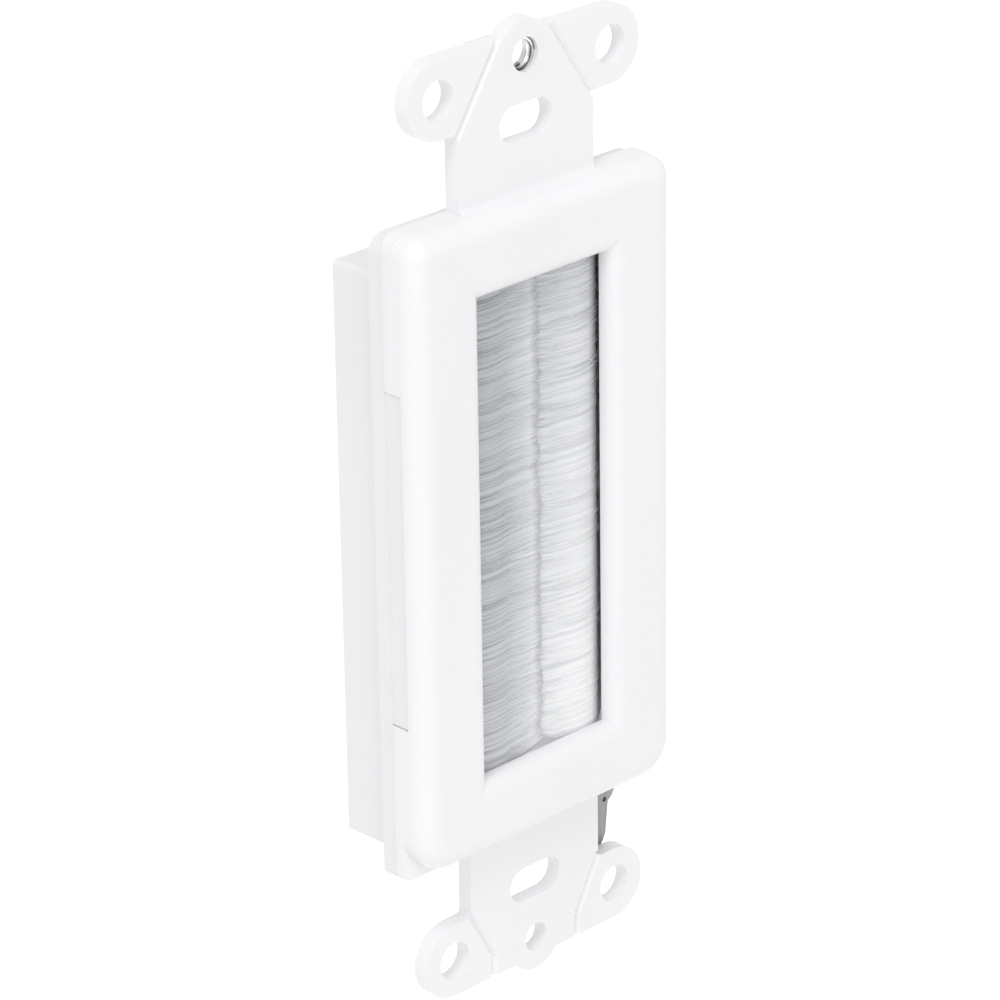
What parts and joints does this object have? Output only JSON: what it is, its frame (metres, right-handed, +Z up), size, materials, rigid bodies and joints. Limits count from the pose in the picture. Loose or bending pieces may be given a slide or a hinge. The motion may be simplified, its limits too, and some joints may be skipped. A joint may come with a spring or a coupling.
{
  "type": "cable entry wall plate insert",
  "caption": "Rectangular wall plate insert with two facing bristle rows that let cables pass through the wall, on a strap with screw slots and pierced ears.",
  "frame": {"origin": "middle of the strap's rear face, which lies on the wall, at the centre of the four ear holes", "axes": "+X to the right seen from the room, +Y into the wall, +Z up along the strap"},
  "size_m": [0.0364, 0.0129, 0.1042],
  "materials": {
    "front_plastic": "white moulded, semi-gloss",
    "rear_plastic": "white moulded, satin",
    "channel_aluminium": "rolled, bare",
    "steel": "zinc plated",
    "bristle_nylon": "translucent white nylon bristles"
  },
  "bodies": {
    "root": {"front_frame": "front_plastic", "rear_sleeve": "rear_plastic", "left_channel": "channel_aluminium", "right_channel": "channel_aluminium", "left_core_wire": "steel", "right_core_wire": "steel", "left_bristles": "bristle_nylon", "right_bristles": "bristle_nylon", "nut_plate": "steel", "side_clip": "steel"}
  },
  "joints": []
}
